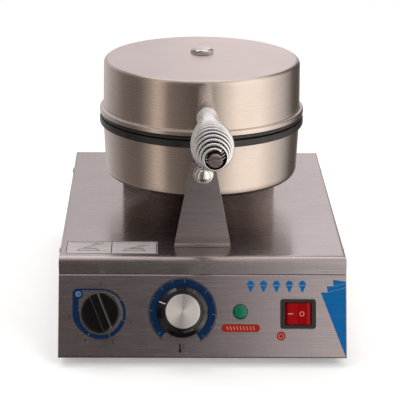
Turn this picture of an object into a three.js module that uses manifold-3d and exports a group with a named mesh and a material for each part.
// Waffle cone maker: two round baking plates in steel shells, on a sheet-metal control box.
// Millimetres, +Z up. The origin is the middle of the footprint, on the worktop.
// +X is the operator's right and +Y is the rear.
import * as THREE from "three";
import { mergeVertices } from "three/addons/utils/BufferGeometryUtils.js";
import Module from "manifold-3d";

const wasm = await Module();
wasm.setup();

// ---- Driving dimensions ----------------------------------------------------

// Control box
const BOX_WIDTH = 280;
const COVER_DEPTH = 368;
const COVER_TOP = 100;
const FOOT_HEIGHT = 8;
const LIP_HEIGHT = 17;
const TOE_REACH = 33; // how far the sloped panel runs out in front of the cover
const COVER_BEND = 5;
const SHEET = 1.2;
const GAP = 0.3; // between neighbouring pieces

// Baking drum, heights counted from the cover
const DRUM_SETBACK = 135.6; // from the cover's front edge to the drum's axis
const PLATE_RADIUS = 103.8;
const UPPER_RIM_RADIUS = 102.6;
const SHELL_RADIUS = 100;
const SHELL_FLOOR_RADIUS = 97.6;
const LID_TOP_RADIUS = 99.4;
const SHELL_FLOOR = COVER_TOP + 47.7;
const LOWER_RIM_BOTTOM = COVER_TOP + 101.1;
const LOWER_RIM_TOP = COVER_TOP + 108.2;
const UPPER_RIM_BOTTOM = COVER_TOP + 108.8;
const UPPER_RIM_TOP = COVER_TOP + 112.6;
const BEAD_BOTTOM = COVER_TOP + 113.4;
const BEAD_TOP = COVER_TOP + 117.8;
const LID_TOP = COVER_TOP + 166.9;
const LID_CROWN = 4.6; // how far the lid's middle stands above its edge
const PLATE_BODY = 11; // thickness of each plate inside its shell
const BAKING_RECESS = 1.5;
const BAKING_RADIUS = 95;

// Handle
const HANDLE_Z = COVER_TOP + 134;
const HANDLE_REACH = 254.6; // from the drum's axis to the rod's end
const HANDLE_YAW = THREE.MathUtils.degToRad(1.6); // the rod sits slightly off the centre line
const ROD_RADIUS = 6.5;
const WIRE_RADIUS = 1.5;

// Hinge
const HINGE_Y = 98;
const HINGE_Z = 222;
const PIN_RADIUS = 4;

// Where the controls sit on the panel: right of its middle, and down the slope
const TIMER_AT = [-98.7, 37.4];
const THERMOSTAT_AT = [-19.6, 36.7];
const LAMP_AT = [36.6, 36];
const SWITCH_AT = [92.75, 38.1];
const TIMER_POINTS_AT = THREE.MathUtils.degToRad(158); // clockwise from the top: three minutes
const THERMOSTAT_POINTS_AT = THREE.MathUtils.degToRad(-66);
const ROCKER_LEAN = THREE.MathUtils.degToRad(9); // each way from level

// Fineness of round pieces
const DRUM_SIDES = 32;
const KNOB_SIDES = 24;
const ROUND_SIDES = 12;
const SCREW_SIDES = 8;
const COIL_STEPS = 8; // to a turn of the handle's wire

// ---- Values worked out from them -------------------------------------------

const HALF_WIDTH = BOX_WIDTH / 2;
const PANEL_TOP = COVER_TOP - LIP_HEIGHT;
const REAR_Y = (COVER_DEPTH + TOE_REACH) / 2;
const TOE_Y = -REAR_Y;
const COVER_FRONT_Y = TOE_Y + TOE_REACH;
const DRUM_Y = COVER_FRONT_Y + DRUM_SETBACK;
const PANEL_DROP = PANEL_TOP - FOOT_HEIGHT;
const PANEL_TILT = Math.atan2(TOE_REACH, PANEL_DROP); // from the vertical
const TRAY_HALF_WIDTH = HALF_WIDTH - SHEET - GAP;
const FLANGE_HALF_WIDTH = TRAY_HALF_WIDTH - SHEET - GAP;
const TRAY_FLOOR = FOOT_HEIGHT + SHEET + GAP;
const TRAY_TOP = COVER_TOP - COVER_BEND - 1;
const TRAY_REAR_Y = REAR_Y - SHEET - GAP;
const BOLT_Z = COVER_TOP + 74.5; // the bolts that hold the lower shell, front and rear
const BOLT_RADIUS = 3;
const BOLT_HOLE = BOLT_RADIUS + 0.4;

// ---- Materials -------------------------------------------------------------

function finish(color, roughness, metalness) {
  return new THREE.MeshStandardMaterial({ color, roughness, metalness });
}
const brushedSteel = () => finish(0xb9adab, 0.35, 1);
const darkSteel = () => finish(0x6e6462, 0.4, 1);
const chrome = () => finish(0xe4e2e0, 0.08, 1);
const coatedAluminium = () => finish(0x2c2a29, 0.6, 0.3);
const castAluminium = () => finish(0x9c9a98, 0.5, 0.9);
const zincSteel = () => finish(0xc8c8c0, 0.35, 1);
const heaterSheath = () => finish(0x4a4440, 0.6, 0.7);
const blackRubber = () => finish(0x161616, 0.8, 0);
const blackPlastic = () => finish(0x0c0c0c, 0.12, 0);
const greyPlastic = () => finish(0x55585a, 0.5, 0);
const redPlastic = () => finish(0xb40a12, 0.2, 0);
const greenLens = () => finish(0x0e8a5c, 0.15, 0);

// ---- Solids: joining and cutting -------------------------------------------

function toSolid(geometry) {
  const bare = geometry.clone();
  bare.deleteAttribute("normal");
  bare.deleteAttribute("uv");
  const merged = mergeVertices(bare, 1e-4);
  const vertProperties = new Float32Array(merged.attributes.position.array);
  const triVerts = new Uint32Array(merged.index.array);
  return new wasm.Manifold(new wasm.Mesh({ numProp: 3, vertProperties, triVerts }));
}

function toGeometry(solid) {
  const mesh = solid.getMesh();
  const geometry = new THREE.BufferGeometry();
  geometry.setAttribute("position", new THREE.BufferAttribute(mesh.vertProperties, 3));
  geometry.setIndex(new THREE.BufferAttribute(mesh.triVerts, 1));
  geometry.computeVertexNormals();
  return geometry;
}

function join(first, ...others) {
  return toGeometry(others.reduce((solid, other) => solid.add(toSolid(other)), toSolid(first)));
}

function cut(first, ...tools) {
  return toGeometry(tools.reduce((solid, tool) => solid.subtract(toSolid(tool)), toSolid(first)));
}

function overlap(first, second) {
  return toGeometry(toSolid(first).intersect(toSolid(second)));
}

// ---- Shapes ----------------------------------------------------------------

// Samples a path of straight runs with a round bend at each inner corner. Each sample is
// a point and the heading there.
function bentPath(corners, radius, steps = 3) {
  const points = corners.map(([a, b]) => new THREE.Vector2(a, b));
  const heading = (i) => points[i + 1].clone().sub(points[i]).angle();
  const samples = [{ point: points[0], heading: heading(0) }];
  for (let i = 1; i < points.length - 1; i++) {
    const before = heading(i - 1);
    const turn = Math.atan2(Math.sin(heading(i) - before), Math.cos(heading(i) - before));
    const side = Math.sign(turn);
    const setback = radius * Math.tan(Math.abs(turn) / 2);
    const alongBefore = new THREE.Vector2(Math.cos(before), Math.sin(before));
    const leftOfBefore = new THREE.Vector2(-Math.sin(before), Math.cos(before));
    const centre = points[i].clone().addScaledVector(alongBefore, -setback);
    centre.addScaledVector(leftOfBefore, side * radius);
    for (let step = 0; step <= steps; step++) {
      const angle = before + (turn * step) / steps;
      const left = new THREE.Vector2(-Math.sin(angle), Math.cos(angle));
      samples.push({ point: centre.clone().addScaledVector(left, -side * radius), heading: angle });
    }
  }
  const last = points.length - 1;
  samples.push({ point: points[last], heading: heading(last - 1) });
  return samples;
}

// The outline of a sheet that lies on the left of a bent path.
function foldedSheet(corners, thickness, radius, steps) {
  const path = bentPath(corners, radius, steps);
  const outer = path.map(({ point }) => [point.x, point.y]);
  const inner = path.map(({ point, heading }) => [
    point.x - Math.sin(heading) * thickness,
    point.y + Math.cos(heading) * thickness,
  ]);
  return [...outer, ...inner.reverse()];
}

// A block's outline with its two upper corners rounded.
function roundedTop(from, to, bottom, top, radius) {
  const corners = [[from, bottom], [from, top], [to, top], [to, bottom]];
  return bentPath(corners, radius).map(({ point }) => [point.x, point.y]);
}

function extruded(outline, depth, holes = []) {
  const shape = new THREE.Shape(outline.map(([a, b]) => new THREE.Vector2(a, b)));
  for (const [a, b, radius] of holes) {
    shape.holes.push(new THREE.Path().absarc(a, b, radius, 0, 2 * Math.PI));
  }
  const options = { depth, bevelEnabled: false, steps: 1, curveSegments: ROUND_SIDES / 2 };
  return new THREE.ExtrudeGeometry(shape, options);
}

const X_AXIS = new THREE.Vector3(1, 0, 0);
const Y_AXIS = new THREE.Vector3(0, 1, 0);
const Z_AXIS = new THREE.Vector3(0, 0, 1);

// An outline of [y, z] points, made solid from x = from to x = to.
function alongX(outline, from, to) {
  const turn = new THREE.Matrix4().makeBasis(Y_AXIS, Z_AXIS, X_AXIS);
  return extruded(outline, to - from).applyMatrix4(turn).translate(from, 0, 0);
}

// An outline of [x, z] points, made solid from y = from to y = to.
function alongY(outline, from, to) {
  const turn = new THREE.Matrix4().makeBasis(X_AXIS, Z_AXIS, Y_AXIS.clone().negate());
  return extruded(outline, to - from).applyMatrix4(turn).translate(0, to, 0);
}

// An outline of [x, y] points, made solid from z = from to z = to.
function alongZ(outline, from, to, holes) {
  return extruded(outline, to - from, holes).translate(0, 0, from);
}

function block(low, high) {
  const size = high.map((value, i) => value - low[i]);
  const middle = high.map((value, i) => (value + low[i]) / 2);
  return new THREE.BoxGeometry(...size).translate(...middle);
}

// A rod between two points.
function rod(from, to, radius, sides = ROUND_SIDES) {
  const start = new THREE.Vector3(...from);
  const run = new THREE.Vector3(...to).sub(start);
  const geometry = new THREE.CylinderGeometry(radius, radius, run.length(), sides);
  const turn = new THREE.Quaternion().setFromUnitVectors(Y_AXIS, run.clone().normalize());
  const middle = start.addScaledVector(run, 0.5);
  return geometry.applyQuaternion(turn).translate(middle.x, middle.y, middle.z);
}

// A profile of [radius, height] points turned about Z. It closes on itself or on the axis.
function turned(profile, sides) {
  const points = profile.map(([radius, height]) => new THREE.Vector2(radius, height));
  if (THREE.ShapeUtils.area(points) < 0) points.reverse();
  const meetsAxis = points.some((point) => point.x === 0);
  while (meetsAxis && !(points[0].x === 0 && points.at(-1).x === 0)) points.push(points.shift());
  if (!meetsAxis) points.push(points[0].clone());
  return new THREE.LatheGeometry(points, sides).rotateX(Math.PI / 2);
}

// The same, with the axis turned to lie along +Y or along -Y.
const facingRear = (geometry) => geometry.rotateX(-Math.PI / 2);
const facingFront = (geometry) => geometry.rotateX(Math.PI / 2);

// A round wire or tube along a curve.
function tube(curve, radius, steps, sides = 8) {
  const section = new THREE.Shape();
  for (let i = 0; i < sides; i++) {
    const angle = (2 * Math.PI * i) / sides;
    section.lineTo(radius * Math.cos(angle), radius * Math.sin(angle));
  }
  return new THREE.ExtrudeGeometry(section, { steps, extrudePath: curve });
}

function smoothCurve(points) {
  return new THREE.CatmullRomCurve3(points.map((point) => new THREE.Vector3(...point)));
}

// A hexagonal prism about Z, with its corners at the radius given.
function hexagon(radius, from, to) {
  return rod([0, 0, from], [0, 0, to], radius, 6);
}

// A domed nut about Z, standing on z = 0, with a blind bore.
function domedNut(flangeRadius, hexRadius, height, bore) {
  const flange = turned([[0, 0], [flangeRadius, 0], [flangeRadius - 0.6, 1.5], [0, 1.5]], ROUND_SIDES);
  const domeBase = 0.6 * height;
  const domeRadius = 0.86 * hexRadius;
  const dome = turned([
    [0, 1],
    [domeRadius, 1],
    [domeRadius, domeBase],
    [0.86 * domeRadius, domeBase + 0.55 * (height - domeBase)],
    [0.5 * domeRadius, domeBase + 0.9 * (height - domeBase)],
    [0, height],
  ], ROUND_SIDES);
  const body = join(flange, hexagon(hexRadius, 0.7, domeBase), dome);
  return cut(body, rod([0, 0, -1], [0, 0, 0.72 * height], bore, SCREW_SIDES));
}

// A wide, low cap nut about Z.
function lowCapNut(hexRadius, height, bore) {
  const shoulder = 0.55 * height;
  const dome = turned([
    [0, 1],
    [0.86 * hexRadius, 1],
    [0.86 * hexRadius, shoulder],
    [0.6 * hexRadius, shoulder + 0.7 * (height - shoulder)],
    [0, height],
  ], ROUND_SIDES);
  const body = join(hexagon(hexRadius, 0, shoulder), dome);
  return cut(body, rod([0, 0, -1], [0, 0, 0.65 * height], bore, SCREW_SIDES));
}

// A pan-head screw about Z: the head stands on z = 0 and the shank runs down.
function screw(shankRadius, length) {
  const head = 2 * shankRadius;
  return turned([
    [0, -length],
    [shankRadius, -length],
    [shankRadius, 0],
    [head, 0],
    [head, 0.5 * head],
    [0.6 * head, 0.72 * head],
    [0, 0.72 * head],
  ], SCREW_SIDES);
}

// ---- The scene graph -------------------------------------------------------

const machine = new THREE.Group();
const lid = new THREE.Group();
machine.add(lid);

// The panel's own frame: its origin is at the top of the slope, +Y runs up the slope and
// +Z stands out of it.
const panel = new THREE.Group();
panel.position.set(0, COVER_FRONT_Y, PANEL_TOP);
panel.rotation.x = Math.PI / 2 - PANEL_TILT;
panel.updateMatrix();
machine.add(panel);

function piece(parent, name, geometry, material) {
  const mesh = new THREE.Mesh(geometry, material);
  mesh.name = name;
  parent.add(mesh);
  return mesh;
}

// A group on the panel at a control's centre.
function controlAt([right, down]) {
  const group = new THREE.Group();
  group.position.set(right, -down, 0);
  panel.add(group);
  return group;
}

const slopeY = (z) => COVER_FRONT_Y - (TOE_REACH * (PANEL_TOP - z)) / PANEL_DROP;
const behindSlope = (depth, z) => slopeY(z) + depth / Math.cos(PANEL_TILT);

// ---- Control box -----------------------------------------------------------

const SUPPORT_SCREW_X = 60;
const SUPPORT_SCREW_Y = 90;
const FIXING_RADIUS = 2.2; // the screws that hold the support and the hinge
const FIXING_HOLE = FIXING_RADIUS + 0.4;
const SLEEVE_AT = [0, DRUM_Y + 30];
const SLEEVE_RADIUS = 8;
const CONDUIT_RADIUS = 6;
const CONDUIT_AT = [60, 150];

function makeCover() {
  const sideBend = 3;
  const pan = (inset, bottom) => {
    const top = COVER_TOP - inset;
    const ends = roundedTop(COVER_FRONT_Y + inset, REAR_Y - inset, bottom, top, COVER_BEND - inset);
    const sides = roundedTop(-HALF_WIDTH + inset, HALF_WIDTH - inset, bottom, top, sideBend - inset);
    return overlap(alongX(ends, -HALF_WIDTH, HALF_WIDTH), alongY(sides, COVER_FRONT_Y, REAR_Y));
  };
  const hole = ([x, y], radius) => rod([x, y, PANEL_TOP], [x, y, COVER_TOP + 1], radius);
  const cover = cut(
    pan(0, PANEL_TOP),
    pan(SHEET, PANEL_TOP - 1),
    hole([-SUPPORT_SCREW_X, SUPPORT_SCREW_Y], FIXING_HOLE),
    hole([SUPPORT_SCREW_X, SUPPORT_SCREW_Y], FIXING_HOLE),
    hole(SLEEVE_AT, SLEEVE_RADIUS + GAP),
    hole(CONDUIT_AT, CONDUIT_RADIUS + GAP),
  );
  piece(machine, "top_cover", cover, brushedSteel());
}

const FOOT_INSET = 30; // from the box's sides and its back
const FOOT_FRONT_INSET = 35;
const FOOT_STEM = 3.7;

function footPlaces() {
  const places = {};
  for (const [end, y] of [["front", TOE_Y + FOOT_FRONT_INSET], ["rear", REAR_Y - FOOT_INSET]]) {
    for (const [side, sign] of [["left", -1], ["right", 1]]) {
      places[`${end}_${side}`] = [sign * (HALF_WIDTH - FOOT_INSET), y];
    }
  }
  return places;
}

function makeTray() {
  const edge = SHEET + 1 + GAP; // the side walls stop behind the panel's bends
  const side = (inset) => [
    [behindSlope(edge, TRAY_FLOOR + inset) - 3 * inset, TRAY_FLOOR + inset],
    [TRAY_REAR_Y - inset, TRAY_FLOOR + inset],
    [TRAY_REAR_Y - inset, TRAY_TOP + inset],
    [behindSlope(edge, PANEL_TOP) - 3 * inset, TRAY_TOP + inset],
    [behindSlope(edge, PANEL_TOP) - 3 * inset, PANEL_TOP],
  ];
  const inside = TRAY_HALF_WIDTH - SHEET;
  const slots = [];
  const ventX = 30;
  const ventPitch = 9;
  for (let i = -3; i <= 3; i++) {
    const x = ventX + ventPitch * i;
    slots.push(block([x - 1.5, TRAY_REAR_Y - 5, 30], [x + 1.5, TRAY_REAR_Y + 1, 60]));
  }
  const footHoles = Object.values(footPlaces()).map(([x, y]) =>
    rod([x, y, TRAY_FLOOR - 1], [x, y, TRAY_FLOOR + 3], FOOT_STEM + GAP),
  );
  const throughWall = (y) => [CORD_X, y, CORD_Z];
  const cordHole = rod(throughWall(TRAY_REAR_Y - 5), throughWall(TRAY_REAR_Y + 1), GLAND_NECK + GAP);
  const tray = cut(
    alongX(side(0), -TRAY_HALF_WIDTH, TRAY_HALF_WIDTH),
    alongX(side(SHEET), -inside, inside),
    ...slots,
    ...footHoles,
    cordHole,
  );
  piece(machine, "base_tray", tray, brushedSteel());
}

function makePanel() {
  const bend = 2;
  const relief = 1;
  const flange = 12;
  const top = PANEL_TOP - GAP;
  const folded = alongX(
    foldedSheet([
      [slopeY(top) + flange, top],
      [slopeY(top), top],
      [TOE_Y, FOOT_HEIGHT],
      [TOE_Y + flange, FOOT_HEIGHT],
    ], SHEET, bend),
    -HALF_WIDTH, HALF_WIDTH,
  );
  // The top and bottom flanges stop short of the sides, where the side flanges stand.
  const behind = [
    [behindSlope(SHEET + relief, FOOT_HEIGHT - 1), FOOT_HEIGHT - 1],
    [REAR_Y, FOOT_HEIGHT - 1],
    [REAR_Y, PANEL_TOP + 1],
    [behindSlope(SHEET + relief, PANEL_TOP + 1), PANEL_TOP + 1],
  ];
  const sideFlange = [
    [behindSlope(SHEET / 2, FOOT_HEIGHT + 5), FOOT_HEIGHT + 5],
    [behindSlope(flange, FOOT_HEIGHT + 9), FOOT_HEIGHT + 9],
    [behindSlope(flange, PANEL_TOP - 7), PANEL_TOP - 7],
    [behindSlope(SHEET / 2, PANEL_TOP - 4), PANEL_TOP - 4],
  ];
  const bent = join(
    cut(
      folded,
      alongX(behind, -HALF_WIDTH - 1, -FLANGE_HALF_WIDTH),
      alongX(behind, FLANGE_HALF_WIDTH, HALF_WIDTH + 1),
    ),
    alongX(sideFlange, -HALF_WIDTH, -HALF_WIDTH + SHEET),
    alongX(sideFlange, HALF_WIDTH - SHEET, HALF_WIDTH),
  );
  const round = ([right, down], radius) =>
    rod([right, -down, -5], [right, -down, 5], radius).applyMatrix4(panel.matrix);
  const [switchX, switchDown] = SWITCH_AT;
  const opening = block(
    [switchX - SWITCH_BODY[0] / 2 - GAP, -switchDown - SWITCH_BODY[1] / 2 - GAP, -5],
    [switchX + SWITCH_BODY[0] / 2 + GAP, -switchDown + SWITCH_BODY[1] / 2 + GAP, 5],
  ).applyMatrix4(panel.matrix);
  const sheet = cut(
    bent,
    round(TIMER_AT, SHAFT_RADIUS + 1),
    round(THERMOSTAT_AT, SHAFT_RADIUS + 1),
    round(LAMP_AT, LAMP_STEM + GAP),
    opening,
  );
  piece(machine, "control_panel", sheet, brushedSteel());
}

function makeFeet() {
  for (const [corner, [x, y]] of Object.entries(footPlaces())) {
    const foot = turned([
      [0, 0],
      [9, 0],
      [11, FOOT_HEIGHT + SHEET],
      [FOOT_STEM, FOOT_HEIGHT + SHEET],
      [FOOT_STEM, TRAY_FLOOR + 3.5],
      [0, TRAY_FLOOR + 3.5],
    ], ROUND_SIDES);
    piece(machine, `foot_${corner}`, foot, blackRubber()).position.set(x, y, 0);
  }
}

// ---- Controls on the panel -------------------------------------------------

const SHAFT_RADIUS = 3;
const SHAFT_BORE = SHAFT_RADIUS + GAP;
const KNOB_BASE = 1.5; // the knobs' clearance to the panel
const BODY_FRONT = -SHEET - 2; // where the parts behind the panel start
const LAMP_STEM = 4.6;
const SWITCH_BODY = [30, 24];
const SWITCH_BEZEL = [34.3, 28.6];
const SWITCH_POCKET = [25.6, 22];

function makeShaft(name, group, knobBore) {
  const shaft = rod([0, 0, BODY_FRONT + GAP], [0, 0, knobBore - GAP], SHAFT_RADIUS, ROUND_SIDES);
  piece(group, name, shaft, zincSteel());
}

function makeTimer() {
  const radius = 19.4;
  const skirt = 4.5;
  const height = 18;
  const bore = 13;
  const group = controlAt(TIMER_AT);
  const body = join(
    block([-22, -22, BODY_FRONT - 30], [22, 22, BODY_FRONT - 4]),
    rod([0, 0, BODY_FRONT - 5], [0, 0, BODY_FRONT], 6, ROUND_SIDES),
  );
  piece(group, "timer_body", body, greyPlastic());

  const turning = new THREE.Group();
  turning.rotation.z = -TIMER_POINTS_AT;
  group.add(turning);
  const disc = turned([
    [0, KNOB_BASE],
    [radius, KNOB_BASE],
    [radius, KNOB_BASE + skirt - 0.8],
    [radius - 0.8, KNOB_BASE + skirt],
    [0, KNOB_BASE + skirt],
  ], KNOB_SIDES);
  const grip = overlap(
    alongY([[-6, KNOB_BASE + 1], [6, KNOB_BASE + 1], [4.6, height], [-4.6, height]], -radius, radius),
    rod([0, 0, 0], [0, 0, height + 1], radius - 0.5, KNOB_SIDES),
  );
  const knob = cut(join(disc, grip), rod([0, 0, 0], [0, 0, bore], SHAFT_BORE, ROUND_SIDES));
  piece(turning, "timer_knob", knob, blackPlastic());
  makeShaft("timer_shaft", turning, bore);
}

function makeThermostat() {
  const skirtRadius = 24.8;
  const barrelRadius = 18.2;
  const capRadius = 16.6;
  const height = 21;
  const bore = 14;
  const group = controlAt(THERMOSTAT_AT);
  const body = join(
    rod([0, 0, BODY_FRONT - 26], [0, 0, BODY_FRONT - 4], 21, ROUND_SIDES),
    rod([0, 0, BODY_FRONT - 5], [0, 0, BODY_FRONT], 6, ROUND_SIDES),
  );
  piece(group, "thermostat_body", body, zincSteel());

  const turning = new THREE.Group();
  turning.rotation.z = -THERMOSTAT_POINTS_AT;
  group.add(turning);
  const knob = turned([
    [0, bore],
    [SHAFT_BORE, bore],
    [SHAFT_BORE, KNOB_BASE],
    [skirtRadius, KNOB_BASE],
    [skirtRadius, KNOB_BASE + 2],
    [barrelRadius + 1.2, KNOB_BASE + 7],
    [barrelRadius, height],
    [capRadius + GAP, height],
    [capRadius + GAP, height - 1],
    [0, height - 1],
  ], KNOB_SIDES);
  piece(turning, "thermostat_knob", knob, blackPlastic());
  const cap = turned([
    [0, height - 1 + GAP],
    [capRadius, height - 1 + GAP],
    [capRadius, height],
    [capRadius - 0.6, height + 0.5],
    [0, height + 0.5],
  ], KNOB_SIDES);
  piece(turning, "thermostat_cap", cap, brushedSteel());
  makeShaft("thermostat_shaft", turning, bore);
}

function makeLamp() {
  const rim = 7.4;
  const group = controlAt(LAMP_AT);
  const lens = turned([
    [0, -7],
    [LAMP_STEM, -7],
    [LAMP_STEM, GAP],
    [rim, GAP],
    [rim, 2.2],
    [0.8 * rim, 3.9],
    [0.4 * rim, 4.8],
    [0, 5],
  ], ROUND_SIDES);
  piece(group, "lamp_lens", lens, greenLens());
  const body = turned([
    [0, -24],
    [6.6, -24],
    [6.6, BODY_FRONT + 1],
    [LAMP_STEM + GAP, BODY_FRONT + 1],
    [LAMP_STEM + GAP, -8],
    [0, -8],
  ], ROUND_SIDES);
  piece(group, "lamp_body", body, blackPlastic());
}

function makeSwitch() {
  const bezelHeight = 2.8;
  const floor = -9;
  const centred = ([width, height], low, high) =>
    block([-width / 2, -height / 2, low], [width / 2, height / 2, high]);
  const group = controlAt(SWITCH_AT);
  const housing = cut(
    join(centred(SWITCH_BEZEL, GAP, bezelHeight), centred(SWITCH_BODY, -24, GAP + 1)),
    centred(SWITCH_POCKET, floor, bezelHeight + 1),
  );
  piece(group, "switch_housing", housing, blackPlastic());

  // The rocker pivots about the panel's own Y. Its ends are arcs about the pivot and its
  // face is a shallow valley.
  const pivotDepth = -1;
  const reach = 12.4;
  const lowest = THREE.MathUtils.degToRad(-18);
  const highest = THREE.MathUtils.degToRad(25);
  const steps = 3;
  const endArc = (side, from, to) =>
    Array.from({ length: steps + 1 }, (_, step) => {
      const angle = from + ((to - from) * step) / steps;
      return [side * reach * Math.cos(angle), reach * Math.sin(angle)];
    });
  const valley = reach * (Math.sin(highest) - Math.cos(highest) * Math.tan(ROCKER_LEAN));
  const outline = [...endArc(1, lowest, highest), [0, valley], ...endArc(-1, highest, lowest)];
  const half = SWITCH_POCKET[1] / 2 - GAP - 0.2;
  const rocker = piece(group, "switch_rocker", alongY(outline, -half, half), redPlastic());
  rocker.position.z = pivotDepth;
  rocker.rotation.y = -ROCKER_LEAN;
}

// ---- Wiring and the power cord ---------------------------------------------

const CORD_X = -95;
const CORD_Z = 40;
const CORD_RADIUS = 3.8;
const GLAND_NECK = 7;

function makeWiring() {
  const blockTop = TRAY_FLOOR + SHEET + GAP + 16;
  const terminals = block([0, 30, TRAY_FLOOR + SHEET + GAP], [60, 50, blockTop]);
  piece(machine, "terminal_block", terminals, greyPlastic());

  const loom = smoothCurve([
    [85, -130, 30],
    [60, -100, 22],
    [10, -60, 20],
    [20, 0, 22],
    [30, 29, 20],
  ]);
  piece(machine, "wiring_loom", tube(loom, 3.5, 10, 6), blackRubber());

  const sleeve = turned([
    [SLEEVE_RADIUS - 1.5, COVER_TOP - 12],
    [SLEEVE_RADIUS, COVER_TOP - 12],
    [SLEEVE_RADIUS, SHELL_FLOOR - GAP],
    [SLEEVE_RADIUS - 1.5, SHELL_FLOOR - GAP],
  ], ROUND_SIDES);
  piece(machine, "lead_sleeve", sleeve, blackRubber()).position.set(...SLEEVE_AT, 0);

  // The thermostat's sensing tube runs up inside the sleeve to the lower plate.
  const [sleeveX, sleeveY] = SLEEVE_AT;
  const capillary = smoothCurve([
    [-19, -145, 48],
    [-10, -110, 40],
    [5, -50, 45],
    [sleeveX, sleeveY, 80],
    [sleeveX, sleeveY, 120],
    [sleeveX, sleeveY, SHELL_FLOOR + 20],
    [sleeveX - 15, sleeveY - 10, LOWER_RIM_BOTTOM - PLATE_BODY - 4],
    [sleeveX - 40, sleeveY - 10, LOWER_RIM_BOTTOM - PLATE_BODY - 4],
  ]);
  piece(machine, "thermostat_capillary", tube(capillary, 1.4, 28, 4), zincSteel());
}

function makeCord() {
  const gland = cut(
    join(
      facingRear(hexagon(11, GAP, 7)),
      facingRear(rod([0, 0, -6], [0, 0, 2], GLAND_NECK, ROUND_SIDES)),
      facingRear(turned([[0, 6], [9, 6], [6.5, 20], [0, 20]], ROUND_SIDES)),
    ),
    rod([0, -10, 0], [0, 25, 0], CORD_RADIUS + 2 * GAP, ROUND_SIDES),
  );
  piece(machine, "cord_gland", gland, blackPlastic()).position.set(CORD_X, TRAY_REAR_Y, CORD_Z);

  // The cord leaves the gland, drops to the worktop and lies in flat loops behind the box.
  const lying = CORD_RADIUS + 1;
  const nearRow = REAR_Y + 34;
  const rowPitch = 10;
  const reach = 105;
  const loops = [
    [CORD_X, 185, CORD_Z],
    [CORD_X, TRAY_REAR_Y + 10, CORD_Z],
    [CORD_X, TRAY_REAR_Y + 21, CORD_Z],
    [CORD_X, nearRow, CORD_Z - 12],
    [CORD_X + 4, nearRow, lying + 8],
    [CORD_X + 26, nearRow, lying + 1],
    [0, nearRow, lying],
    [reach - 15, nearRow, lying],
    [reach, nearRow + rowPitch, lying],
    [reach - 15, nearRow + 2 * rowPitch, lying],
    [0, nearRow + 2 * rowPitch, lying],
    [-reach + 15, nearRow + 2 * rowPitch, lying],
    [-reach, nearRow + 3 * rowPitch, lying],
    [-reach + 15, nearRow + 4 * rowPitch, lying],
    [PLUG_X - PLUG_LENGTH / 2 - 30, PLUG_Y, lying + 0.5],
    [PLUG_X - PLUG_LENGTH / 2 - 5, PLUG_Y, PLUG_HEIGHT / 2],
    [PLUG_X - PLUG_LENGTH / 2 + 9, PLUG_Y, PLUG_HEIGHT / 2],
  ];
  piece(machine, "power_cord", tube(smoothCurve(loops), CORD_RADIUS, 56, 6), blackRubber());

  const [front, back] = [PLUG_Y - PLUG_WIDTH / 2, PLUG_Y + PLUG_WIDTH / 2];
  const left = PLUG_X - PLUG_LENGTH / 2;
  const right = PLUG_X + PLUG_LENGTH / 2;
  const pin = (y) => rod([right - 4, y, PLUG_HEIGHT / 2], [right + 19, y, PLUG_HEIGHT / 2], 2);
  const entry = (x) => [x, PLUG_Y, PLUG_HEIGHT / 2];
  const plug = cut(
    join(block([left, front, GAP], [right, back, PLUG_HEIGHT]), pin(PLUG_Y - 7), pin(PLUG_Y + 7)),
    rod(entry(left - 1), entry(left + 12), CORD_RADIUS + 1, ROUND_SIDES),
  );
  piece(machine, "power_plug", plug, blackRubber());
}

const PLUG_WIDTH = 26;
const PLUG_LENGTH = 36;
const PLUG_HEIGHT = 16;
const PLUG_X = 20;
// The plug lies as far behind the box as the handle stands out in front of it.
const HANDLE_FRONT =
  HANDLE_REACH * Math.cos(HANDLE_YAW) + ROD_RADIUS * Math.sin(HANDLE_YAW) - DRUM_Y;
const PLUG_Y = HANDLE_FRONT - PLUG_WIDTH / 2;

// ---- What carries the drum -------------------------------------------------

const BRACKET_SHEET = 1.5;
const BRACKET_FACE_Y = DRUM_Y - SHELL_RADIUS - 1.2;
const SUPPORT_HALF_WIDTH = 83;
const SUPPORT_SHEET = 1.8;
const SUPPORT_FRONT_Y = 76;
const SUPPORT_TOP = COVER_TOP + 96;
const HINGE_SCREW_X = 15;

function makeFrontBracket() {
  const top = BOLT_Z + 12;
  const face = BRACKET_FACE_Y;
  const floor = COVER_TOP + GAP + BRACKET_SHEET;
  const footHalf = 28;
  const topHalf = 11.5;
  const folded = alongX(
    foldedSheet([[face, top], [face, floor], [face - 3.6, floor]], BRACKET_SHEET, 2),
    -footHalf, footHalf,
  );
  const outline = bentPath([
    [0, COVER_TOP - 1],
    [footHalf + 0.2, COVER_TOP - 1],
    [topHalf, top],
    [-topHalf, top],
    [-footHalf - 0.2, COVER_TOP - 1],
    [0, COVER_TOP - 1],
  ], 0.1, 1).map(({ point }) => [point.x, point.y]);
  const hole = rod([0, face - 5, BOLT_Z], [0, face + 5, BOLT_Z], BOLT_HOLE);
  const bracket = cut(overlap(folded, alongY(outline, face - 20, face + 20)), hole);
  piece(machine, "front_bracket", bracket, darkSteel());

  const wall = DRUM_Y - shellRadiusAt(BOLT_Z) + SHEET;
  const bolt = facingFront(screw(BOLT_RADIUS, 11).rotateX(Math.PI));
  piece(machine, "front_bolt", bolt, zincSteel()).position.set(0, wall + 3 * GAP, BOLT_Z);
  const nut = facingFront(domedNut(10, 8.4, 11, BOLT_HOLE));
  piece(machine, "front_nut", nut, chrome()).position.set(0, face - GAP, BOLT_Z);
}

const shellRadiusAt = (z) =>
  SHELL_FLOOR_RADIUS +
  ((SHELL_RADIUS - SHELL_FLOOR_RADIUS) * (z - SHELL_FLOOR)) / (LOWER_RIM_BOTTOM - SHELL_FLOOR);

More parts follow.
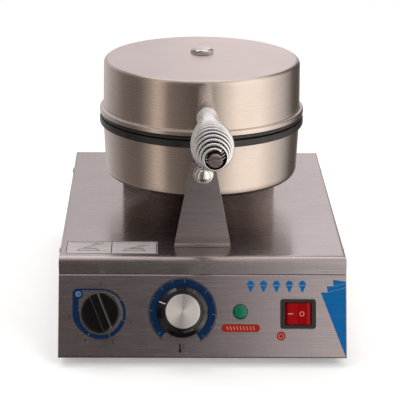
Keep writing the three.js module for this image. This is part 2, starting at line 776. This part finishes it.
function makeRearSupport() {
  const topDepth = 45;
  const footDepth = 20;
  const foot = COVER_TOP + GAP;
  const web = alongX(
    foldedSheet([
      [SUPPORT_FRONT_Y + topDepth, SUPPORT_TOP],
      [SUPPORT_FRONT_Y, SUPPORT_TOP],
      [SUPPORT_FRONT_Y, foot],
      [SUPPORT_FRONT_Y + footDepth, foot],
    ], SUPPORT_SHEET, 3),
    -SUPPORT_HALF_WIDTH, SUPPORT_HALF_WIDTH,
  );
  const cheek = [
    [SUPPORT_FRONT_Y + SUPPORT_SHEET / 2, foot + 4],
    [SUPPORT_FRONT_Y + 8, foot],
    [SUPPORT_FRONT_Y + 70, foot],
    [SUPPORT_FRONT_Y + topDepth, SUPPORT_TOP],
    [SUPPORT_FRONT_Y + 8, SUPPORT_TOP],
    [SUPPORT_FRONT_Y + SUPPORT_SHEET / 2, SUPPORT_TOP - 4],
  ];
  const down = (x, y, top, radius) => rod([x, y, top - 5], [x, y, top + 2], radius);
  const support = cut(
    join(
      web,
      alongX(cheek, -SUPPORT_HALF_WIDTH, -SUPPORT_HALF_WIDTH + SUPPORT_SHEET),
      alongX(cheek, SUPPORT_HALF_WIDTH - SUPPORT_SHEET, SUPPORT_HALF_WIDTH),
    ),
    rod([0, SUPPORT_FRONT_Y - 5, BOLT_Z], [0, SUPPORT_FRONT_Y + 5, BOLT_Z], BOLT_HOLE),
    ...[-1, 1].flatMap((side) => [
      down(side * SUPPORT_SCREW_X, SUPPORT_SCREW_Y, foot + SUPPORT_SHEET, FIXING_HOLE),
      down(side * HINGE_SCREW_X, HINGE_Y, SUPPORT_TOP, FIXING_HOLE),
    ]),
  );
  piece(machine, "rear_support", support, brushedSteel());

  for (const [side, sign] of [["left", -1], ["right", 1]]) {
    const fixing = piece(machine, `support_screw_${side}`, screw(FIXING_RADIUS, 9), zincSteel());
    fixing.position.set(sign * SUPPORT_SCREW_X, SUPPORT_SCREW_Y, foot + SUPPORT_SHEET + GAP);
  }

  const wall = DRUM_Y + shellRadiusAt(BOLT_Z);
  const spacer = facingRear(turned([
    [BOLT_HOLE, wall + 0.6],
    [7, wall + 0.6],
    [7, SUPPORT_FRONT_Y - GAP],
    [BOLT_HOLE, SUPPORT_FRONT_Y - GAP],
  ], ROUND_SIDES));
  piece(machine, "rear_spacer", spacer, zincSteel()).position.z = BOLT_Z;
  const bolt = facingRear(screw(BOLT_RADIUS, 19).rotateX(Math.PI));
  piece(machine, "rear_bolt", bolt, zincSteel()).position.set(0, wall - SHEET - 3 * GAP, BOLT_Z);
  const nut = cut(hexagon(5.8, 0, 5), rod([0, 0, -1], [0, 0, 6], BOLT_HOLE));
  piece(machine, "rear_nut", facingRear(nut), zincSteel()).position
    .set(0, SUPPORT_FRONT_Y + SUPPORT_SHEET + GAP, BOLT_Z);
}

// ---- Drum: shells, plates and heaters --------------------------------------

const STUD_RADIUS = 4;
const STUD_HOLE = STUD_RADIUS + 0.4;
const HEATER_RADIUS = 68;
const HEATER_SECTION = 4;
const HEATER_CLEARANCE = 2.2; // room for the element's bent ends
const CLAMP_THICKNESS = 3;

// A tubular heater: one open ring with both ends turned away from the plate.
function heater(away) {
  const points = [];
  const opening = THREE.MathUtils.degToRad(16);
  const steps = 16;
  const end = (angle, drop, radius) =>
    points.push([radius * Math.sin(angle), radius * Math.cos(angle), drop * away]);
  end(opening, 26, HEATER_RADIUS - 4);
  for (let step = 0; step <= steps; step++) {
    end(opening + ((2 * Math.PI - 2 * opening) * step) / steps, 0, HEATER_RADIUS);
  }
  end(-opening, 26, HEATER_RADIUS - 4);
  return tube(smoothCurve(points), HEATER_SECTION, 34, 6);
}

function clampBar(z) {
  const bar = [[-76, -12], [76, -12], [76, 12], [-76, 12]];
  return alongZ(bar, z, z + CLAMP_THICKNESS, [[0, 0, STUD_HOLE]]);
}

function makeLowerDrum() {
  const drum = new THREE.Group();
  drum.position.y = DRUM_Y;
  machine.add(drum);
  const [sleeveX, sleeveY] = SLEEVE_AT;
  const shell = cut(
    turned(
      foldedSheet([
        [STUD_HOLE, SHELL_FLOOR],
        [SHELL_FLOOR_RADIUS, SHELL_FLOOR],
        [SHELL_RADIUS, LOWER_RIM_BOTTOM - GAP],
      ], SHEET, 4, 2),
      DRUM_SIDES,
    ),
    rod([sleeveX, sleeveY - DRUM_Y, SHELL_FLOOR - 1], [sleeveX, sleeveY - DRUM_Y, SHELL_FLOOR + 3], 6),
    rod([0, -SHELL_RADIUS - 2, BOLT_Z], [0, SHELL_RADIUS + 2, BOLT_Z], BOLT_HOLE),
  );
  piece(drum, "lower_shell", shell, brushedSteel());

  const underside = LOWER_RIM_BOTTOM - PLATE_BODY;
  const plate = turned([
    [0, underside],
    [SHELL_RADIUS - 3.5, underside],
    [SHELL_RADIUS - 3, LOWER_RIM_BOTTOM],
    [PLATE_RADIUS - 0.8, LOWER_RIM_BOTTOM],
    [PLATE_RADIUS, LOWER_RIM_BOTTOM + 0.8],
    [PLATE_RADIUS, LOWER_RIM_TOP - 0.8],
    [PLATE_RADIUS - 0.8, LOWER_RIM_TOP],
    [BAKING_RADIUS + 1, LOWER_RIM_TOP],
    [BAKING_RADIUS, LOWER_RIM_TOP - BAKING_RECESS],
    [0, LOWER_RIM_TOP - BAKING_RECESS],
  ], DRUM_SIDES);
  piece(drum, "lower_plate", plate, coatedAluminium());

  const heaterZ = underside - HEATER_CLEARANCE - HEATER_SECTION;
  piece(drum, "lower_heater", heater(-1), heaterSheath()).position.z = heaterZ;
  const clampZ = heaterZ - HEATER_SECTION - GAP - CLAMP_THICKNESS;
  piece(drum, "lower_clamp", clampBar(clampZ), zincSteel());
  const stud = rod([0, 0, SHELL_FLOOR - 7], [0, 0, underside - GAP], STUD_RADIUS, ROUND_SIDES);
  piece(drum, "lower_stud", stud, zincSteel());
  const nut = domedNut(10, 8.4, 10, STUD_HOLE).rotateX(Math.PI);
  piece(drum, "lower_nut", nut, chrome()).position.z = SHELL_FLOOR - GAP;
}

function makeLidDrum() {
  const drum = new THREE.Group();
  drum.position.y = DRUM_Y;
  lid.add(drum);
  const radial = (angle, z, from, to, radius) =>
    rod(
      [from * Math.sin(angle), from * Math.cos(angle), z],
      [to * Math.sin(angle), to * Math.cos(angle), z],
      radius,
    );
  const crownAt = (share) => LID_TOP + LID_CROWN * (1 - share * share);
  const shell = cut(
    turned(
      foldedSheet([
        [PLATE_RADIUS, BEAD_BOTTOM],
        [PLATE_RADIUS, BEAD_TOP],
        [SHELL_RADIUS, BEAD_TOP + 1.6],
        [LID_TOP_RADIUS, LID_TOP],
        ...[0.85, 0.6, 0.3].map((share) => [share * LID_TOP_RADIUS, crownAt(share)]),
        [STUD_HOLE, crownAt(0)],
      ], SHEET, 1.4, 1),
      DRUM_SIDES,
    ),
    radial(Math.PI - HANDLE_YAW, HANDLE_Z, 90, 110, STUD_HOLE),
    radial(LID_GLAND_ANGLE, LID_GLAND_Z, 90, 110, CONDUIT_RADIUS),
    ...ARM_SCREWS.map(([x, z]) => rod([x, 80, z], [x, 110, z], ARM_SCREW_HOLE)),
  );
  piece(drum, "upper_shell", shell, brushedSteel());

  const topside = UPPER_RIM_TOP + PLATE_BODY;
  const plate = turned([
    [0, UPPER_RIM_BOTTOM + BAKING_RECESS],
    [BAKING_RADIUS, UPPER_RIM_BOTTOM + BAKING_RECESS],
    [BAKING_RADIUS + 1, UPPER_RIM_BOTTOM],
    [UPPER_RIM_RADIUS - 0.6, UPPER_RIM_BOTTOM],
    [UPPER_RIM_RADIUS, UPPER_RIM_BOTTOM + 0.6],
    [UPPER_RIM_RADIUS, UPPER_RIM_TOP],
    [SHELL_RADIUS - 3, UPPER_RIM_TOP],
    [SHELL_RADIUS - 3.5, topside],
    [0, topside],
  ], DRUM_SIDES);
  piece(drum, "upper_plate", plate, coatedAluminium());

  const heaterZ = topside + HEATER_CLEARANCE + HEATER_SECTION;
  piece(drum, "upper_heater", heater(1), heaterSheath()).position.z = heaterZ;
  piece(drum, "upper_clamp", clampBar(heaterZ + HEATER_SECTION + GAP), zincSteel());
  const stud = rod([0, 0, topside + GAP], [0, 0, crownAt(0) + 3], STUD_RADIUS, ROUND_SIDES);
  piece(drum, "lid_stud", stud, zincSteel());
  piece(drum, "lid_nut", lowCapNut(11.7, 5.6, STUD_HOLE), chrome()).position.z = crownAt(0) + GAP;
}

// ---- Handle ----------------------------------------------------------------

const HANDLE_ROOT = SHELL_RADIUS + 5.6; // where the rod's full thickness starts

// The coil's radius to the middle of the wire: a close neck, a bulge and a narrow end.
function coilRadius(distance) {
  const neck = 8.8;
  const bulge = 18.5;
  const tip = 8.8;
  const neckEnd = 132;
  const widest = HANDLE_REACH - 48;
  const end = HANDLE_REACH - 3;
  if (distance <= neckEnd) return neck;
  if (distance <= widest) {
    return THREE.MathUtils.lerp(neck, bulge, THREE.MathUtils.smoothstep(distance, neckEnd - 8, widest));
  }
  const closing = (distance - widest) / (end - widest);
  return tip + (bulge - tip) * Math.cos((closing * Math.PI) / 2);
}

// The turns of the coil, as a curve from the root to the end of the handle.
class CoilCurve extends THREE.Curve {
  constructor(from, to, closePitch, openPitch) {
    super();
    this.marks = [{ distance: from, angle: 0 }];
    let distance = from;
    let angle = 0;
    while (distance < to) {
      const spread = THREE.MathUtils.smoothstep(distance, from + 15, from + 75);
      const pitch = THREE.MathUtils.lerp(closePitch, openPitch, spread);
      distance += pitch / 24;
      angle += (2 * Math.PI) / 24;
      this.marks.push({ distance, angle });
    }
  }
  getPoint(share, target = new THREE.Vector3()) {
    const place = share * (this.marks.length - 1);
    const index = Math.min(Math.floor(place), this.marks.length - 2);
    const [before, after] = [this.marks[index], this.marks[index + 1]];
    const part = place - index;
    const distance = THREE.MathUtils.lerp(before.distance, after.distance, part);
    const angle = THREE.MathUtils.lerp(before.angle, after.angle, part);
    const radius = coilRadius(distance);
    return target.set(radius * Math.cos(angle), -distance, radius * Math.sin(angle));
  }
  // Even steps of angle keep the turns evenly faceted.
  getPointAt(share, target) {
    return this.getPoint(share, target);
  }
  getTangentAt(share, target) {
    return this.getTangent(share, target);
  }
}

function makeHandle() {
  const handle = new THREE.Group();
  handle.position.set(0, DRUM_Y, HANDLE_Z);
  handle.rotation.z = HANDLE_YAW;
  lid.add(handle);
  const neck = SHELL_RADIUS - 9;
  const stem = facingFront(turned([
    [0, neck],
    [STUD_RADIUS, neck],
    [STUD_RADIUS, HANDLE_ROOT],
    [ROD_RADIUS, HANDLE_ROOT],
    [ROD_RADIUS, HANDLE_REACH],
    [0, HANDLE_REACH],
  ], ROUND_SIDES));
  piece(handle, "handle_rod", stem, darkSteel());

  const hexRing = (radius, from, to) => {
    const bore = rod([0, 0, from - 1], [0, 0, to + 1], STUD_HOLE, ROUND_SIDES);
    return facingFront(cut(hexagon(radius, from, to), bore));
  };
  piece(handle, "handle_collar", hexRing(10.2, SHELL_RADIUS + GAP, HANDLE_ROOT - GAP), chrome());
  piece(handle, "handle_nut", hexRing(7.6, neck + 1, SHELL_RADIUS - SHEET - 3 * GAP), zincSteel());

  const coil = new CoilCurve(HANDLE_ROOT + 2, HANDLE_REACH - 4, 5, 7);
  const turns = coil.marks.at(-1).angle / (2 * Math.PI);
  piece(handle, "handle_coil", tube(coil, WIRE_RADIUS, Math.round(turns * COIL_STEPS), 5), chrome());
}

// ---- Hinge and the lid's lead ----------------------------------------------

const ARM_SCREWS = [[-14, 238], [14, 238]]; // right of the middle, and height
const ARM_SCREW_RADIUS = 2;
const ARM_SCREW_HOLE = ARM_SCREW_RADIUS + 0.4;
const EAR_RADIUS = 9;
const ARM_HALF_WIDTH = 28;
const LUG = 3.5; // thickness of the ears
const LID_GLAND_ANGLE = THREE.MathUtils.degToRad(35);
const LID_GLAND_Z = 243;

// An ear with a round end about the hinge's axis, as a [y, z] outline from two foot points.
function ear(footA, footB) {
  const startAngle = Math.atan2(footA[1] - HINGE_Z, footA[0] - HINGE_Y);
  const endAngle = Math.atan2(footB[1] - HINGE_Z, footB[0] - HINGE_Y);
  const lead = Math.PI / 2.4; // from a foot point's direction to where the straight side meets the arc
  const from = startAngle + lead;
  let to = endAngle - lead;
  if (to < from) to += 2 * Math.PI;
  const outline = [footA];
  const steps = 10;
  for (let step = 0; step <= steps; step++) {
    const angle = from + ((to - from) * step) / steps;
    outline.push([HINGE_Y + EAR_RADIUS * Math.cos(angle), HINGE_Z + EAR_RADIUS * Math.sin(angle)]);
  }
  outline.push(footB);
  return outline;
}

function makeHinge() {
  const pinHole = (geometry) =>
    cut(geometry, rod([-60, HINGE_Y, HINGE_Z], [60, HINGE_Y, HINGE_Z], PIN_RADIUS + GAP, ROUND_SIDES));
  const earInside = ARM_HALF_WIDTH + 0.5;
  const earOutside = earInside + LUG;
  const seat = SUPPORT_TOP + GAP;
  const seatHalf = 14;
  const earOutline = ear([HINGE_Y + seatHalf, seat], [HINGE_Y - seatHalf, seat]);
  const base = cut(
    join(
      block([-earOutside, HINGE_Y - seatHalf, seat], [earOutside, HINGE_Y + seatHalf, seat + LUG]),
      alongX(earOutline, -earOutside, -earInside),
      alongX(earOutline, earInside, earOutside),
    ),
    ...[-HINGE_SCREW_X, HINGE_SCREW_X].map((x) =>
      rod([x, HINGE_Y, seat - 1], [x, HINGE_Y, seat + LUG + 1], FIXING_HOLE)),
  );
  piece(machine, "hinge_base", pinHole(base), zincSteel());
  for (const [side, sign] of [["left", -1], ["right", 1]]) {
    const fixing = piece(machine, `hinge_screw_${side}`, screw(FIXING_RADIUS, 12), zincSteel());
    fixing.position.set(sign * HINGE_SCREW_X, HINGE_Y, seat + LUG + GAP);
  }

  // The pin is held in the ears, with a head at one end and a peened end at the other.
  const end = earOutside + GAP;
  const pin = turned([
    [0, -end - 1.5],
    [PIN_RADIUS + 1, -end - 1.5],
    [PIN_RADIUS + 1, -end],
    [PIN_RADIUS, -end],
    [PIN_RADIUS, end],
    [PIN_RADIUS + 2.2, end],
    [PIN_RADIUS + 2.2, end + 2],
    [0, end + 2],
  ], ROUND_SIDES).rotateY(Math.PI / 2);
  piece(machine, "hinge_pin", pin, zincSteel()).position.set(0, HINGE_Y, HINGE_Z);

  // The arm is cast with a saddle that fits the lid's round side.
  const saddleBack = DRUM_Y + SHELL_RADIUS + 5;
  const saddleBottom = BEAD_TOP + 4;
  const saddleTop = 256;
  const lug = ear([saddleBack - 2, saddleBottom], [saddleBack - 2, saddleTop]);
  const arm = cut(
    join(
      block([-ARM_HALF_WIDTH, saddleBack - 14, saddleBottom], [ARM_HALF_WIDTH, saddleBack, saddleTop]),
      alongX(lug, -ARM_HALF_WIDTH, -ARM_HALF_WIDTH + LUG),
      alongX(lug, ARM_HALF_WIDTH - LUG, ARM_HALF_WIDTH),
    ),
    rod([0, DRUM_Y, saddleBottom - 5], [0, DRUM_Y, saddleTop + 5], SHELL_RADIUS + 0.4, 2 * DRUM_SIDES),
    ...ARM_SCREWS.map(([x, z]) => rod([x, DRUM_Y + 90, z], [x, saddleBack - 1, z], ARM_SCREW_HOLE)),
  );
  piece(lid, "hinge_arm", pinHole(arm), castAluminium());
  ARM_SCREWS.forEach(([x, z], i) => {
    const inside = DRUM_Y + Math.sqrt((SHELL_RADIUS - SHEET - 1) ** 2 - (Math.abs(x) + 5) ** 2);
    const fixing = facingRear(screw(ARM_SCREW_RADIUS, 7).rotateX(Math.PI));
    piece(lid, `arm_screw_${["left", "right"][i]}`, fixing, zincSteel()).position.set(x, inside, z);
  });
}

// A round fitting about Z that holds the end of the conduit. It stands on z = 0.
function conduitGland() {
  return turned([
    [CONDUIT_RADIUS - 1, 0],
    [10, 0],
    [10, 6],
    [8.5, 12],
    [CONDUIT_RADIUS + 1, 12],
    [CONDUIT_RADIUS + 1, 3],
    [CONDUIT_RADIUS - 1, 3],
  ], ROUND_SIDES);
}

function makeConduit() {
  const [baseX, baseY] = CONDUIT_AT;
  const baseGland = piece(machine, "conduit_gland_base", conduitGland(), blackPlastic());
  baseGland.position.set(baseX, baseY, COVER_TOP + GAP);

  const outward = new THREE.Vector3(Math.sin(LID_GLAND_ANGLE), Math.cos(LID_GLAND_ANGLE), 0);
  const onLid = (distance, rise = 0) =>
    [distance * outward.x, DRUM_Y + distance * outward.y, LID_GLAND_Z + rise];
  const lidGland = piece(lid, "conduit_gland_lid", conduitGland(), blackPlastic());
  lidGland.quaternion.setFromUnitVectors(Z_AXIS, outward);
  lidGland.position.set(...onLid(SHELL_RADIUS + 0.6));

  const run = smoothCurve([
    [baseX, baseY, COVER_TOP + 4],
    [baseX, baseY, COVER_TOP + 24],
    [baseX + 14, baseY + 4, COVER_TOP + 70],
    [baseX + 28, baseY - 14, COVER_TOP + 118],
    onLid(SHELL_RADIUS + 34, 4),
    onLid(SHELL_RADIUS + 14),
    onLid(SHELL_RADIUS + 4.4),
  ]);
  piece(machine, "lid_conduit", tube(run, CONDUIT_RADIUS, 20), darkSteel());
}

makeCover();
makeTray();
makePanel();
makeFeet();
makeTimer();
makeThermostat();
makeLamp();
makeSwitch();
makeWiring();
makeCord();
makeFrontBracket();
makeRearSupport();
makeLowerDrum();
makeLidDrum();
makeHandle();
makeHinge();
makeConduit();

export default machine;
